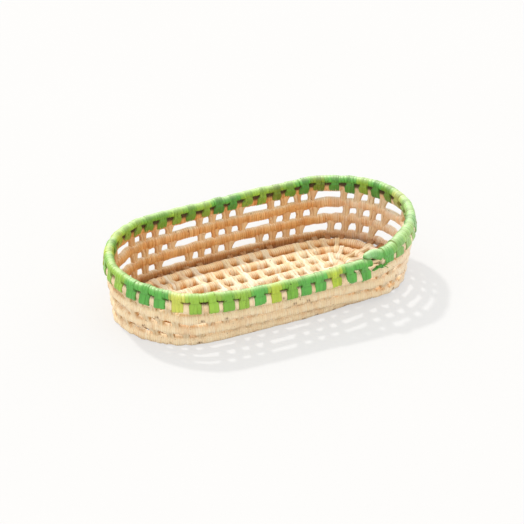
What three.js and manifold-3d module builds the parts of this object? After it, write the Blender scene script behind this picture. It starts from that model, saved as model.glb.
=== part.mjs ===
// Oval basket of coiled palm leaf, in millimetres, +Z up, standing on z = 0.
//
// A bundle of fibres is wound clockwise, seen from above, into one oval spiral.
// It starts with a straight run in the middle of the floor, lies flat for the
// floor, climbs for the wall and ends as the rim. Leaf strips wrap the bundle all
// the way. Every few wraps a strip takes a long stitch to the row before, which
// makes a bar across the gap between the two rows. Green strips wrap the rim, and
// their long stitches show as tabs round the top row of the wall.

import * as THREE from "three";
import { mergeVertices } from "three/addons/utils/BufferGeometryUtils.js";
import Module from "manifold-3d";

const wasm = await Module();
wasm.setup();

// Coil
const coilRadius = 4.6; // outside of the natural wrapping
const rimRadius = 4.3; // outside of the green wrapping
const coreRadius = 2.6; // fibre bundle inside every wrapping
const coreGap = 0.45; // bundle to wrapping
const seatGap = 0.3; // wrapping to the piece that it rests on
const stripGap = 0.4; // end of one wrapping to the start of the next
const footFlat = 0.5; // depth worn flat under the coil that stands on the table

// Plan
const startHalfLength = 70; // straight run in the middle of the floor
const floorRows = 4; // rows from the middle of the floor to the first wall row
const floorPitch = 15.5; // row to row on the floor
const sideBow = 14; // bulge of the long sides, at the first wall row

// Wall
const wallRows = 4;
const wallPitch = 13.1; // row to row, measured along the slope
const sideLean = 3.7; // outward step of each row on the long sides
const endLean = 1.6; // outward step of each row at the round ends
const rimInset = 0.8; // rim behind the top wall row
const endRise = 5.5; // top wall row at the ends above its middle on the sides
const backRise = 2.4; // top wall row at the back above its mean height

// Climb from row to row, as shares of a turn that starts at the front right
const evenClimb = 0.43; // part of each wall row's climb that is spread over its turn
const stepSpread = 0.1; // stretch on each side of the step that takes the rest

// Stitches
const shortWindows = 3; // between bars, and then a long one
const firstStitch = 32; // along the coil from its start
const stitchSpacing = 13; // bar to bar at a short window
const longSpacing = 30.5; // bar to bar at a long window
const stitchWidth = 4.6; // along the coil
const stitchDepth = 3.2; // across the row
const stripCount = 17; // green strips round the rim
const tabSpacing = 14; // between the two tabs over a long window
const tabWidth = 7;
const leafThickness = 0.9;

// Loose end of the last green strip
const knotRadius = 4;
const knotDepth = 2.6;
const knotHeight = 3.2;
const tailLength = 8;

// Facets
const sideSteps = 4;
const endSteps = 8;
const coilSides = 6;
const coreSides = 5;

const turnSteps = 2 * (sideSteps + endSteps);
const coilStart = 0.5;
const rimTurn = floorRows + wallRows;
const wallRise = Math.sqrt(wallPitch ** 2 - sideLean ** 2);
const stitchRepeat = shortWindows * stitchSpacing + longSpacing;

// Corner of a facetted round that is as full as the true one
const cornerOf = (radius, sides) => radius / Math.sqrt(Math.cos(Math.PI / sides));

const flatShare = Math.sqrt(Math.cos(Math.PI / coilSides)); // middle of a facet, of the radius
const rimRise = flatShare * (coilRadius + rimRadius) + seatGap;
const restHeight = coilRadius - footFlat;
const topHeight = restHeight + (wallRows - 1) * wallRise;
const firstHalfWidth = floorRows * floorPitch;
const firstHalfLength = startHalfLength + firstHalfWidth;
const boreRadius = coreRadius + coreGap;

const sideShare = sideSteps / turnSteps;
const sideLength = 2 * (firstHalfLength - firstHalfWidth + sideBow);
const endLength = Math.PI * (firstHalfWidth - sideBow);
const sideLengthShare = sideLength / (2 * (sideLength + endLength));

const clamp01 = (value) => Math.min(Math.max(value, 0), 1);
const ease = (value) => THREE.MathUtils.smoothstep(value, 0, 1);

// Share of a turn's length that lies before a place on it, from the front right
function lengthShare(place) {
  const half = place < 0.5 ? 0 : 0.5;
  const local = place - half;
  const onSide = clamp01(local / sideShare);
  const onEnd = clamp01((local - sideShare) / (0.5 - sideShare));
  return half + onSide * sideLengthShare + onEnd * (0.5 - sideLengthShare);
}

// Row number along the coil: whole in the middle of a row, half at each step.
// The first turn widens evenly, the floor widens at the step alone, and the wall
// climbs partly at the step and partly all the way round.
function rowLevel(turn) {
  const row = Math.floor(turn);
  const share = lengthShare(turn - row);
  const before = 0.5 * (1 - ease(share / stepSpread));
  const after = 0.5 * ease((share - 1 + stepSpread) / stepSpread);
  const climb = Math.max(1 - clamp01(turn - 1), evenClimb * clamp01(turn - floorRows));
  return row + climb * (share - 0.5) + (1 - climb) * (after - before);
}

// Half width, half length, bulge and height of a row
function rowShape(level) {
  const onFloor = Math.min(level, floorRows);
  const upWall = Math.max(level - floorRows, 0);
  return {
    halfWidth: floorPitch * onFloor + sideLean * upWall,
    halfLength: startHalfLength + floorPitch * onFloor + endLean * upWall,
    bow: sideBow * (onFloor / floorRows) ** 2,
    height: restHeight + wallRise * upWall,
  };
}

// Point of an oval row: front side, left end, back side, right end
function ovalPoint(place, shape) {
  const endRadius = shape.halfWidth - shape.bow;
  const straight = shape.halfLength - endRadius;
  const side = place < 0.5 ? 1 : -1;
  const local = place < 0.5 ? place : place - 0.5;
  const along = clamp01(local / sideShare);
  const angle = Math.PI * (0.5 + clamp01((local - sideShare) / (0.5 - sideShare)));
  const x = side * (straight * (1 - 2 * along) + endRadius * Math.cos(angle));
  const across = Math.sin(angle);
  const bulge = shape.bow * (1 - (x / shape.halfLength) ** 2);
  return new THREE.Vector3(x, -side * across * (endRadius + bulge), shape.height);
}

// Ends and back stand higher the further up the wall a point is
function settle(point) {
  const up = Math.max(point.z - restHeight, 0) / (topHeight - restHeight);
  const toEnd = (point.x / firstHalfLength) ** 2;
  const toBack = point.y / firstHalfWidth;
  point.z += up * (endRise * toEnd + backRise * toBack);
  return point;
}

function rowPoint(turn) {
  const onRim = turn > rimTurn;
  const below = onRim ? turn - 1 : turn;
  const shape = rowShape(rowLevel(below));
  const resting = onRim ? ease((turn - rimTurn) / stepSpread) : 0;
  if (onRim) {
    shape.halfWidth += THREE.MathUtils.lerp(sideLean, -rimInset, resting);
    shape.halfLength += THREE.MathUtils.lerp(endLean, -rimInset, resting);
  }
  const point = settle(ovalPoint(below - Math.floor(below), shape));
  if (onRim) point.z += THREE.MathUtils.lerp(wallRise, rimRise, resting);
  return point;
}

// Centre and axes of the coil at one step. A facet of the wrapping faces the row
// before, which is beside it on the floor and below it in the wall.
function stationAt(step) {
  const turn = step / turnSteps;
  const centre = rowPoint(turn);
  const reach = 0.25 / turnSteps;
  const tangent = rowPoint(turn + reach).sub(rowPoint(turn - reach)).normalize();
  const outward = new THREE.Vector3(-tangent.y, tangent.x, 0).normalize();
  const onFloor = 1 - ease((turn - floorRows - 1 + stepSpread) / stepSpread);
  outward.applyAxisAngle(tangent, (-onFloor * Math.PI) / coilSides);
  const upward = new THREE.Vector3().crossVectors(tangent, outward).normalize();
  return { centre, outward, upward };
}

const stationCache = new Map();
function station(step) {
  if (!stationCache.has(step)) stationCache.set(step, stationAt(step));
  return stationCache.get(step);
}

// Anything fixed to the coil follows the straight pieces between its steps
function onCoil(turn, place) {
  const step = turn * turnSteps;
  const first = Math.floor(step + 1e-9);
  const share = step - first;
  const start = place(station(first));
  return share < 1e-6 ? start : start.lerp(place(station(first + 1)), share);
}

function offset(at, out, up) {
  return at.centre.clone().addScaledVector(at.outward, out).addScaledVector(at.upward, up);
}

function turnsBetween(from, to) {
  const turns = [from];
  for (let step = Math.floor(from * turnSteps) + 1; step < to * turnSteps - 1e-6; step += 1) {
    if (step > from * turnSteps + 1e-6) turns.push(step / turnSteps);
  }
  turns.push(to);
  return turns;
}

// Triangles that close an outline, which may be hollowed like a letter U
function capTriangles(outline) {
  const normal = new THREE.Vector3();
  outline.forEach((point, item) => {
    normal.add(point.clone().cross(outline[(item + 1) % outline.length]));
  });
  const right = outline[1].clone().sub(outline[0]).normalize();
  const up = normal.normalize().cross(right);
  const flat = outline.map((point) => new THREE.Vector2(point.dot(right), point.dot(up)));
  return THREE.ShapeUtils.triangulateShape(flat, []);
}

// Solid through a row of outlines with the same number of points
function loft(outlines) {
  const count = outlines[0].length;
  const positions = outlines.flat().flatMap((point) => [point.x, point.y, point.z]);
  const index = [];
  for (let ring = 0; ring + 1 < outlines.length; ring += 1) {
    for (let side = 0; side < count; side += 1) {
      const a = ring * count + side;
      const b = ring * count + ((side + 1) % count);
      index.push(a, b, b + count, a, b + count, a + count);
    }
  }
  const last = (outlines.length - 1) * count;
  capTriangles(outlines[0]).forEach(([a, b, c]) => index.push(a, c, b));
  capTriangles(outlines.at(-1)).forEach(([a, b, c]) => index.push(last + a, last + b, last + c));
  const geometry = new THREE.BufferGeometry();
  geometry.setAttribute("position", new THREE.Float32BufferAttribute(positions, 3));
  geometry.setIndex(index);
  return geometry;
}

function roundOutline(turn, radius, sides) {
  const corner = cornerOf(radius, sides);
  const points = [];
  for (let side = 0; side < sides; side += 1) {
    const angle = (side / sides) * 2 * Math.PI;
    const out = corner * Math.cos(angle);
    const up = corner * Math.sin(angle);
    points.push(onCoil(turn, (at) => offset(at, out, up)));
  }
  return points;
}

function tube(from, to, radius, sides) {
  return loft(turnsBetween(from, to).map((turn) => roundOutline(turn, radius, sides)));
}

// Joins and cuts
function solid(geometry) {
  const plain = geometry.clone();
  plain.deleteAttribute("normal");
  plain.deleteAttribute("uv");
  const merged = mergeVertices(plain, 1e-4);
  return new wasm.Manifold(
    new wasm.Mesh({
      numProp: 3,
      vertProperties: new Float32Array(merged.getAttribute("position").array),
      triVerts: new Uint32Array(merged.getIndex().array),
    }),
  );
}

const join = (first, others) => others.reduce((sum, other) => sum.add(other), first);

function geometryOf(body) {
  const { vertProperties, triVerts } = body.getMesh();
  const geometry = new THREE.BufferGeometry();
  geometry.setAttribute("position", new THREE.BufferAttribute(vertProperties, 3));
  geometry.setIndex(new THREE.BufferAttribute(triVerts, 1));
  geometry.computeVertexNormals();
  return geometry;
}

// Everything below the table top, which leaves the coil its flat foot
const belowTable = new THREE.BoxGeometry(4 * firstHalfLength, 4 * firstHalfWidth, coilRadius);
belowTable.translate(0, 0, -coilRadius / 2);
const tableCut = solid(belowTable);

const stepAt = (turn) => Math.floor(turn * turnSteps + 1e-9);
const chordOf = (step) => station(step + 1).centre.clone().sub(station(step).centre);

// Share of a turn that a length along the coil takes
const turnsFor = (length, turn) => length / chordOf(stepAt(turn)).length() / turnSteps;

// Turns of the coil at the given places of every repeat
function placesOnCoil(offsets) {
  const places = [];
  let travelled = 0;
  let next = 0;
  for (let step = coilStart * turnSteps; step < rimTurn * turnSteps; step += 1) {
    const length = chordOf(step).length();
    for (;;) {
      const repeat = Math.floor(next / offsets.length);
      const place = firstStitch + repeat * stitchRepeat + offsets[next % offsets.length];
      if (place >= travelled + length) break;
      places.push((step + (place - travelled) / length) / turnSteps);
      next += 1;
    }
    travelled += length;
  }
  return places;
}

const stitchOffsets = Array.from({ length: shortWindows + 1 }, (_, bar) => bar * stitchSpacing);
const stitchTurns = placesOnCoil(stitchOffsets);

// A green tab in each short window of the top wall row, and two in each long one
const longMiddle = (shortWindows * stitchSpacing + stitchRepeat) / 2;
const tabOffsets = [
  ...stitchOffsets.slice(0, shortWindows).map((place) => place + stitchSpacing / 2),
  longMiddle - tabSpacing / 2,
  longMiddle + tabSpacing / 2,
];
const tabTurns = placesOnCoil(tabOffsets)
  .map((turn) => turn + 1)
  .filter((turn) => turn > rimTurn + turnsFor(tabWidth / 2, rimTurn));

// Turn of the row before that a stitch reaches square to its own row. The first
// turn starts beside the straight run, which it passes the other way.
function mateTurn(turn) {
  const before = turn - 1;
  const sameWay = before >= coilStart;
  const mate = sameWay ? before : coilStart + sideShare - before;
  const ahead = onCoil(turn, (at) => at.centre.clone())
    .sub(onCoil(mate, (at) => at.centre.clone()))
    .dot(chordOf(stepAt(turn)).normalize());
  return Math.max(mate + turnsFor(sameWay ? ahead : -ahead, mate), coilStart);
}

// Axes of a piece that lies along the coil and looks towards a given side
function axesAlong(turn, towards) {
  const look = towards.clone().normalize();
  const along = chordOf(stepAt(turn));
  along.addScaledVector(look, -along.dot(look)).normalize();
  return [along, new THREE.Vector3().crossVectors(look, along), look];
}

// Bar from a row's wrapping to the facet of the row before that faces it
function stitchBar(turn) {
  const mate = mateTurn(turn);
  const from = onCoil(turn, (at) => at.centre.clone());
  const to = onCoil(mate, (at) => at.centre.clone());
  const axes = axesAlong(turn, to.clone().sub(from));
  const bar = new THREE.BoxGeometry(stitchWidth, stitchDepth, 2);
  bar.translate(0, 0, 1);
  bar.applyMatrix4(new THREE.Matrix4().makeBasis(...axes).setPosition(from));
  const [out, up] = ["outward", "upward"].map((axis) => onCoil(mate, (at) => at[axis].clone()));
  const back = from.clone().sub(to);
  const facet = (2 * Math.PI) / coilSides;
  const angle = (Math.floor(Math.atan2(back.dot(up), back.dot(out)) / facet) + 0.5) * facet;
  const chord = chordOf(stepAt(mate)).normalize();
  const normal = out.multiplyScalar(Math.cos(angle)).addScaledVector(up, Math.sin(angle));
  normal.addScaledVector(chord, -normal.dot(chord)).normalize();
  const level = normal.dot(to) + flatShare * coilRadius + seatGap;
  const points = bar.getAttribute("position");
  for (let item = 0; item < points.count; item += 1) {
    const point = new THREE.Vector3().fromBufferAttribute(points, item);
    const isEnd = point.clone().sub(from).dot(axes[2]) > 1;
    const reach = (level - normal.dot(point)) / normal.dot(axes[2]);
    point.addScaledVector(axes[2], isEnd ? reach : boreRadius + leafThickness / 2);
    points.setXYZ(item, point.x, point.y, point.z);
  }
  return solid(bar);
}

const boreOf = (from, to) => solid(tube(from, to, boreRadius, coreSides));

// Natural wrapping of one turn, or part of one, with its stitches
function naturalWrap(from, to) {
  const start = from + turnsFor(stripGap / 2, from);
  const end = to - turnsFor(stripGap / 2, to);
  const isLinked = (turn) => {
    const half = turnsFor(stitchWidth / 2, turn);
    const pastStart = turn - 1 < coilStart && turn - 1 + half > sideShare;
    return turn > 1 && turn - half > start && turn + half < end && !pastStart;
  };
  const bars = stitchTurns.filter(isLinked).map(stitchBar);
  const wrap = join(solid(tube(start, end, coilRadius, coilSides)), bars);
  return wrap.subtract(boreOf(from, to)).subtract(tableCut);
}

// Long green stitch: a leaf down both faces of the top wall row and round beneath it,
// with its two upper edges in the wrapping of the rim
function tabOutline(turn) {
  const round = (radius) => {
    const corner = cornerOf(radius, coilSides);
    const points = [];
    for (let side = coilSides / 2; side <= coilSides; side += 1) {
      const angle = (side / coilSides) * 2 * Math.PI;
      const out = corner * Math.cos(angle);
      const up = corner * Math.sin(angle);
      points.push(onCoil(turn - 1, (at) => offset(at, out, up)));
    }
    return points;
  };
  const inWrap = (out, up) => onCoil(turn, (at) => offset(at, out, up));
  const edge = (boreRadius + rimRadius) / 2;
  return [
    inWrap(-edge - leafThickness / 4, 0),
    ...round(coilRadius + seatGap + leafThickness),
    inWrap(edge + leafThickness / 4, 0),
    inWrap(edge, -leafThickness),
    ...round(coilRadius + seatGap).reverse(),
    inWrap(-edge, -leafThickness),
  ];
}

// Green strip round the rim, with its tabs
function greenStrip(from, to, tabs) {
  const start = from + turnsFor(stripGap / 2, from);
  const end = to - turnsFor(stripGap / 2, to);
  const plies = tabs.map((turn) => {
    const half = turnsFor(tabWidth / 2, turn);
    return solid(loft(turnsBetween(turn - half, turn + half).map(tabOutline)));
  });
  return join(solid(tube(start, end, rimRadius, coilSides)), plies).subtract(boreOf(from, to));
}

// Knotted end of the last green strip, against the outer face of the first tab
function tailKnot() {
  const [turn] = tabTurns;
  const [foot, head] = tabOutline(turn).slice(4, 6);
  const rise = head.clone().sub(foot).normalize();
  const back = chordOf(stepAt(turn)).negate();
  back.addScaledVector(rise, -back.dot(rise)).normalize();
  const away = new THREE.Vector3().crossVectors(back, rise);
  const centre = foot.lerp(head, 0.5).addScaledVector(away, seatGap + knotDepth);
  const knot = new THREE.SphereGeometry(1, 10, 6);
  knot.scale(knotRadius, knotHeight, knotDepth);
  const tail = new THREE.ConeGeometry(knotHeight * 0.8, tailLength, 5);
  tail.scale(1, 1, 0.4);
  tail.rotateZ(-Math.PI / 2);
  tail.translate(tailLength / 2 + knotRadius / 4, 0, 0);
  const frame = new THREE.Matrix4().makeBasis(back, rise, away).setPosition(centre);
  return solid(knot.applyMatrix4(frame)).add(solid(tail.applyMatrix4(frame)));
}

// Leaf colours
const leaf = (color) => new THREE.MeshStandardMaterial({ color, roughness: 0.75, metalness: 0 });
const naturalLeaf = leaf(0xdcb98a);
const fibre = leaf(0xc89a62);
const greens = [0x4fae3f, 0x7bbd3f, 0x3d9c45, 0xb3c94a, 0x5cb552].map(leaf);

const basket = new THREE.Group();
function addPiece(name, geometry, material) {
  const mesh = new THREE.Mesh(geometry, material);
  mesh.name = name;
  basket.add(mesh);
}

const core = solid(tube(coilStart, rimTurn + 1, coreRadius, coreSides));
addPiece("core_bundle", geometryOf(core), fibre);

addPiece("floor_start", geometryOf(naturalWrap(coilStart, 1)), naturalLeaf);
for (let row = 1; row < floorRows; row += 1) {
  addPiece(`floor_turn_${row}`, geometryOf(naturalWrap(row, row + 1)), naturalLeaf);
}
for (let row = 1; row <= wallRows; row += 1) {
  const from = floorRows + row - 1;
  addPiece(`wall_turn_${row}`, geometryOf(naturalWrap(from, from + 1)), naturalLeaf);
}
let stripStart = rimTurn;
for (let strip = 0; strip < stripCount; strip += 1) {
  const first = Math.round((strip / stripCount) * tabTurns.length);
  const next = Math.round(((strip + 1) / stripCount) * tabTurns.length);
  const isLast = strip + 1 === stripCount;
  const end = isLast ? rimTurn + 1 : (tabTurns[next - 1] + tabTurns[next]) / 2;
  const name = `rim_strip_${String(strip + 1).padStart(2, "0")}`;
  const wrap = greenStrip(stripStart, end, tabTurns.slice(first, next));
  addPiece(name, geometryOf(wrap), greens[(strip * 3) % greens.length]);
  stripStart = end;
}
addPiece("tail_knot", geometryOf(tailKnot()), greens[2]);

// Least gap of the fibre bundle to itself, from its centre line one turn apart
let leastGap = Infinity;
const centreLine = turnsBetween(coilStart, rimTurn + 1).map((turn) =>
  onCoil(turn, (at) => at.centre.clone()),
);
for (let first = 0; first < centreLine.length; first += 1) {
  for (let other = first + turnSteps / 4; other < centreLine.length; other += 1) {
    const gap = centreLine[first].distanceTo(centreLine[other]) - 2 * coreRadius;
    leastGap = Math.min(leastGap, gap);
  }
}
console.log(`least gap of the fibre bundle to itself: ${leastGap.toFixed(2)} mm`);

export default basket;
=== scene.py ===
"""Looks for the oval coiled basket: wrapped coils, stitches, green rim, floor, light and camera.

The coil's path and the places of its stitches are the CAD part's own, in millimetres.
A turn counts the windings of the coil, and a length is measured along its centre line.
An angle round the coil is 0 on its outer side and a quarter of a circle on its top.
"""

from math import ceil, cos, pi, radians, sin, sqrt, tan

import bpy
import numpy as np
from mathutils import Matrix, Vector


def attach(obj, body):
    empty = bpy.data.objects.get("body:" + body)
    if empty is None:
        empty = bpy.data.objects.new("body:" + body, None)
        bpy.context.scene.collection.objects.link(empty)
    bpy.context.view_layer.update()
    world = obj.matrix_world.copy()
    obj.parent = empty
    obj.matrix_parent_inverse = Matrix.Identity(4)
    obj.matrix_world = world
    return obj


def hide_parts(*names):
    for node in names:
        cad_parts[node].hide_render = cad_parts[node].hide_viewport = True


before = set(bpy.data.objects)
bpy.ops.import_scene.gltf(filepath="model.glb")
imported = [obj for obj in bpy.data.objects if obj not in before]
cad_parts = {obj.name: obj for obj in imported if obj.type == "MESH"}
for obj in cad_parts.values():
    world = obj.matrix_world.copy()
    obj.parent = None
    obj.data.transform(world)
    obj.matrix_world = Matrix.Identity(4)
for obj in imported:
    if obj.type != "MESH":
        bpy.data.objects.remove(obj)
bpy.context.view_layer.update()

scene = bpy.context.scene
MM = 0.001
FULL = 2 * pi

# Coil, as in the CAD part
COIL_RADIUS = 4.6
RIM_RADIUS = 4.3
FOOT_FLAT = 0.5
START_HALF_LENGTH = 70.0
FLOOR_ROWS = 4
FLOOR_PITCH = 15.5
SIDE_BOW = 14.0
WALL_ROWS = 4
WALL_PITCH = 13.1
SIDE_LEAN = 3.7
END_LEAN = 1.6
RIM_INSET = 0.8
RIM_RISE = 7.4
END_RISE = 5.5
BACK_RISE = 2.4
EVEN_CLIMB = 0.43
STEP_SPREAD = 0.1
SHORT_WINDOWS = 3
FIRST_STITCH = 32.0
STITCH_SPACING = 13.0
LONG_SPACING = 30.5
TAB_SPACING = 14.0
TAB_WIDTH = 7.0
STRIP_COUNT = 17
SIDE_STEPS = 4
END_STEPS = 8

TURN_STEPS = 2 * (SIDE_STEPS + END_STEPS)
COIL_START = 0.5
RIM_TURN = FLOOR_ROWS + WALL_ROWS
COIL_END = RIM_TURN + 1
WALL_RISE = sqrt(WALL_PITCH**2 - SIDE_LEAN**2)
STITCH_REPEAT = SHORT_WINDOWS * STITCH_SPACING + LONG_SPACING
REST_HEIGHT = COIL_RADIUS - FOOT_FLAT
TOP_HEIGHT = REST_HEIGHT + (WALL_ROWS - 1) * WALL_RISE
HALF_WIDTH = FLOOR_ROWS * FLOOR_PITCH
HALF_LENGTH = START_HALF_LENGTH + HALF_WIDTH
SIDE_SHARE = SIDE_STEPS / TURN_STEPS
SIDE_LENGTH = 2 * (HALF_LENGTH - HALF_WIDTH + SIDE_BOW)
END_LENGTH = pi * (HALF_WIDTH - SIDE_BOW)
SIDE_LENGTH_SHARE = SIDE_LENGTH / (2 * (SIDE_LENGTH + END_LENGTH))


def within(value):
    return np.clip(value, 0, 1)


def ease(value):
    value = within(value)
    return value * value * (3 - 2 * value)


def ramp(value, start, end):
    """Eased from 0 at the start to 1 at the end."""
    return ease((value - start) / (end - start))


def blend(first, second, share):
    """From the first at 0 to the second at 1."""
    return first * (1 - share) + second * share


def bell(value, spread, power=2):
    """1 at 0, falling to both sides."""
    return np.exp(-((value / spread) ** power))


def unit(vectors):
    return vectors / np.linalg.norm(vectors, axis=-1, keepdims=True)


def travelled(points):
    """Distance along a line of points, from the first to each."""
    steps = np.linalg.norm(np.diff(points, axis=0), axis=1)
    return np.concatenate([[0], np.cumsum(steps)])


def halves(place):
    """Half of the turn, and how much of that half's side and of its end is passed."""
    half = np.where(place < 0.5, 0.0, 0.5)
    local = place - half
    return half, within(local / SIDE_SHARE), within((local - SIDE_SHARE) / (0.5 - SIDE_SHARE))


def length_share(place):
    half, on_side, on_end = halves(place)
    return half + on_side * SIDE_LENGTH_SHARE + on_end * (0.5 - SIDE_LENGTH_SHARE)


def row_level(turn):
    row = np.floor(turn)
    share = length_share(turn - row)
    before = 0.5 * (1 - ease(share / STEP_SPREAD))
    after = 0.5 * ease((share - 1 + STEP_SPREAD) / STEP_SPREAD)
    climb = np.maximum(1 - within(turn - 1), EVEN_CLIMB * within(turn - FLOOR_ROWS))
    return row + blend(after - before, share - 0.5, climb)


def row_point(turn):
    """Centre of the coil at each turn, in millimetres."""
    on_rim = turn > RIM_TURN
    below = np.where(on_rim, turn - 1, turn)
    level = row_level(below)
    on_floor = np.minimum(level, FLOOR_ROWS)
    up_wall = np.maximum(level - FLOOR_ROWS, 0)
    resting = np.where(on_rim, ease((turn - RIM_TURN) / STEP_SPREAD), 0)
    out_side = blend(SIDE_LEAN, -RIM_INSET, resting)
    out_end = blend(END_LEAN, -RIM_INSET, resting)
    half_width = FLOOR_PITCH * on_floor + SIDE_LEAN * up_wall + on_rim * out_side
    half_length = START_HALF_LENGTH + FLOOR_PITCH * on_floor
    half_length = half_length + END_LEAN * up_wall + on_rim * out_end
    bow = SIDE_BOW * (on_floor / FLOOR_ROWS) ** 2
    end_radius = half_width - bow
    straight = half_length - end_radius
    half, along, around = halves(below - np.floor(below))
    side = 1 - 4 * half
    angle = pi * (0.5 + around)
    x = side * (straight * (1 - 2 * along) + end_radius * np.cos(angle))
    bulge = bow * (1 - (x / half_length) ** 2)
    y = -side * np.sin(angle) * (end_radius + bulge)
    z = REST_HEIGHT + WALL_RISE * up_wall
    up = np.maximum(z - REST_HEIGHT, 0) / (TOP_HEIGHT - REST_HEIGHT)
    z = z + up * (END_RISE * (x / HALF_LENGTH) ** 2 + BACK_RISE * y / HALF_WIDTH)
    z = z + on_rim * blend(WALL_RISE, RIM_RISE, resting)
    return np.stack([x, y, z], -1)


# Tapered end of the rim, which dips on to the rim's start
TAPER_START = COIL_END - 0.002
TAPER_END = COIL_END + 0.020
TIP_RADIUS = 2.9
TIP_SINK = 0.7
DIP = 5.0
DIP_OVER = (COIL_END - 0.05, COIL_END + 0.005)
SEAT_PACE = 1.6
SEAT_END = RIM_TURN + 0.1


def rim_taper(turn):
    return within((turn - TAPER_START) / (TAPER_END - TAPER_START))


def laid_point(turn):
    """Centre of the coil, with the rim's end lowered on to the row under it."""
    taper = rim_taper(turn)
    seat = row_point(np.minimum(turn - 1, SEAT_END))
    seat[:, 2] += RIM_RADIUS - TIP_SINK + blend(RIM_RADIUS, TIP_RADIUS, taper)
    point = row_point(turn)
    point[:, 2] -= DIP * ramp(turn, *DIP_OVER)
    return blend(point, seat, ease(taper * SEAT_PACE)[:, None])


# Wall rows settle a little at the step, where each climbs on to the one before
SETTLE = 3.0
SETTLE_BEFORE = 0.02
SETTLE_SPREAD = 0.06
SETTLE_END = 0.2


def settled(turn):
    """How far the coil sinks at the step, most on the lowest row of the wall."""
    past = turn - np.round(turn)
    row = np.clip(np.round(turn) - FLOOR_ROWS, 0, WALL_ROWS)
    share = np.where(row > 0, 1 - (row - 1) / (WALL_ROWS - 1), 0)
    near = bell(past + SETTLE_BEFORE, SETTLE_SPREAD)
    return SETTLE * share * near * (past < SETTLE_END)


# The foot of the front is drawn in to a nearly straight line, and the rows over it rise
ROWS_FROM = 0.1
FRONT_FROM = (0.3, 0.8)
FRONT_MIDDLE = 5.0
FRONT_REACH = 75.0
FRONT_FADE = 1.2
TUCK = 2.8
TUCK_LOSS = 0.3
STEP_OUT = 3.2
STEP_PLACE = 75.0
STEP_WIDTH = 22.0
STEP_OVER = (FLOOR_ROWS - 0.07, FLOOR_ROWS - 0.01)
LIFT = 0.9
LIFT_SHARE = 1.5
LIFT_LOSS = 0.5


def straightened(turn, path):
    """Shifts inwards and upwards that draw the foot of the front nearly straight."""
    row = np.round(turn - ROWS_FROM) - FLOOR_ROWS
    front = ramp(-path[:, 1] / HALF_WIDTH, *FRONT_FROM)
    middle = ease(FRONT_FADE - np.abs(path[:, 0] - FRONT_MIDDLE) / FRONT_REACH)
    tuck = TUCK * within(1 - TUCK_LOSS * np.abs(row)) * middle
    near_step = bell(path[:, 0] - STEP_PLACE, STEP_WIDTH) * (row == 0) * ramp(turn, *STEP_OVER)
    lift = LIFT * within(LIFT_SHARE - LIFT_LOSS * row) * (row > 0) * middle
    return front * (tuck - STEP_OUT * near_step), front * lift


# The path as a table over its length, with a slight sway that is least on the floor
TURN_TABLE = 1440
SWAY = 0.3
SWAY_PITCH = 9
SWAY_SEED = 3
FLOOR_SWAY = 0.25
SWAY_HEIGHT = 4.0
TURNS = np.arange(COIL_START, TAPER_END + 1e-9, 1 / TURN_TABLE)
PATH = laid_point(TURNS)
PATH[:, 2] = np.maximum(PATH[:, 2] - settled(TURNS), np.minimum(PATH[:, 2], REST_HEIGHT))
PATH[:, 1:] += np.stack(straightened(TURNS, PATH), -1)
LENGTHS = travelled(PATH)
TANGENTS = unit(np.gradient(PATH, LENGTHS, axis=0))
OUTWARDS = unit(np.stack([-TANGENTS[:, 1], TANGENTS[:, 0], 0 * LENGTHS], -1))
UPWARDS = np.cross(TANGENTS, OUTWARDS)
knots = int(LENGTHS[-1] / SWAY_PITCH) + 3
sway = np.random.default_rng(SWAY_SEED).normal(0, SWAY, (knots, 2))
sway = np.stack(
    [np.interp(LENGTHS / SWAY_PITCH, np.arange(knots), sway[:, axis]) for axis in range(2)], -1
)
sway[:, 1] *= np.clip((PATH[:, 2] - REST_HEIGHT) / SWAY_HEIGHT, FLOOR_SWAY, 1)
PATH = PATH + OUTWARDS * sway[:, :1] + UPWARDS * sway[:, 1:]


def length_at(turn):
    return np.interp(turn, TURNS, LENGTHS)


def turn_at(length):
    return np.interp(length, LENGTHS, TURNS)


def table_at(length, table):
    return np.stack([np.interp(length, LENGTHS, table[:, axis]) for axis in range(3)], -1)


def across_at(length):
    """Distance from the middle of the basket towards its right end."""
    return np.interp(length, LENGTHS, PATH[:, 0])


def forward_at(length):
    """About 1 at the front of the basket and -1 at its back."""
    return -np.interp(length, LENGTHS, PATH[:, 1]) / HALF_WIDTH


def behind(length):
    """1 along the back of the basket, 0 along its front."""
    return ease(0.5 - 0.9 * forward_at(length))


def places_on_coil(offsets):
    """Turns of the coil at the given places of every stitch repeat."""
    steps = np.arange(COIL_START * TURN_STEPS, RIM_TURN * TURN_STEPS + 1) / TURN_STEPS
    lengths = travelled(row_point(steps))
    repeats = FIRST_STITCH + np.arange(ceil(lengths[-1] / STITCH_REPEAT)) * STITCH_REPEAT
    places = (repeats[:, None] + np.array(offsets)).ravel()
    return np.interp(places[places < lengths[-1]], lengths, steps)


STITCH_OFFSETS = [bar * STITCH_SPACING for bar in range(SHORT_WINDOWS + 1)]
STITCHES = places_on_coil(STITCH_OFFSETS)
LONG_MIDDLE = (SHORT_WINDOWS * STITCH_SPACING + STITCH_REPEAT) / 2
TAB_OFFSETS = [place + STITCH_SPACING / 2 for place in STITCH_OFFSETS[:-1]]
TAB_OFFSETS += [LONG_MIDDLE - TAB_SPACING / 2, LONG_MIDDLE + TAB_SPACING / 2]
TABS = places_on_coil(TAB_OFFSETS) + 1
TABS = TABS[TABS > RIM_TURN + 0.004]
MATE_REACH = 0.06
START_CLEAR = 0.012


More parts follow.
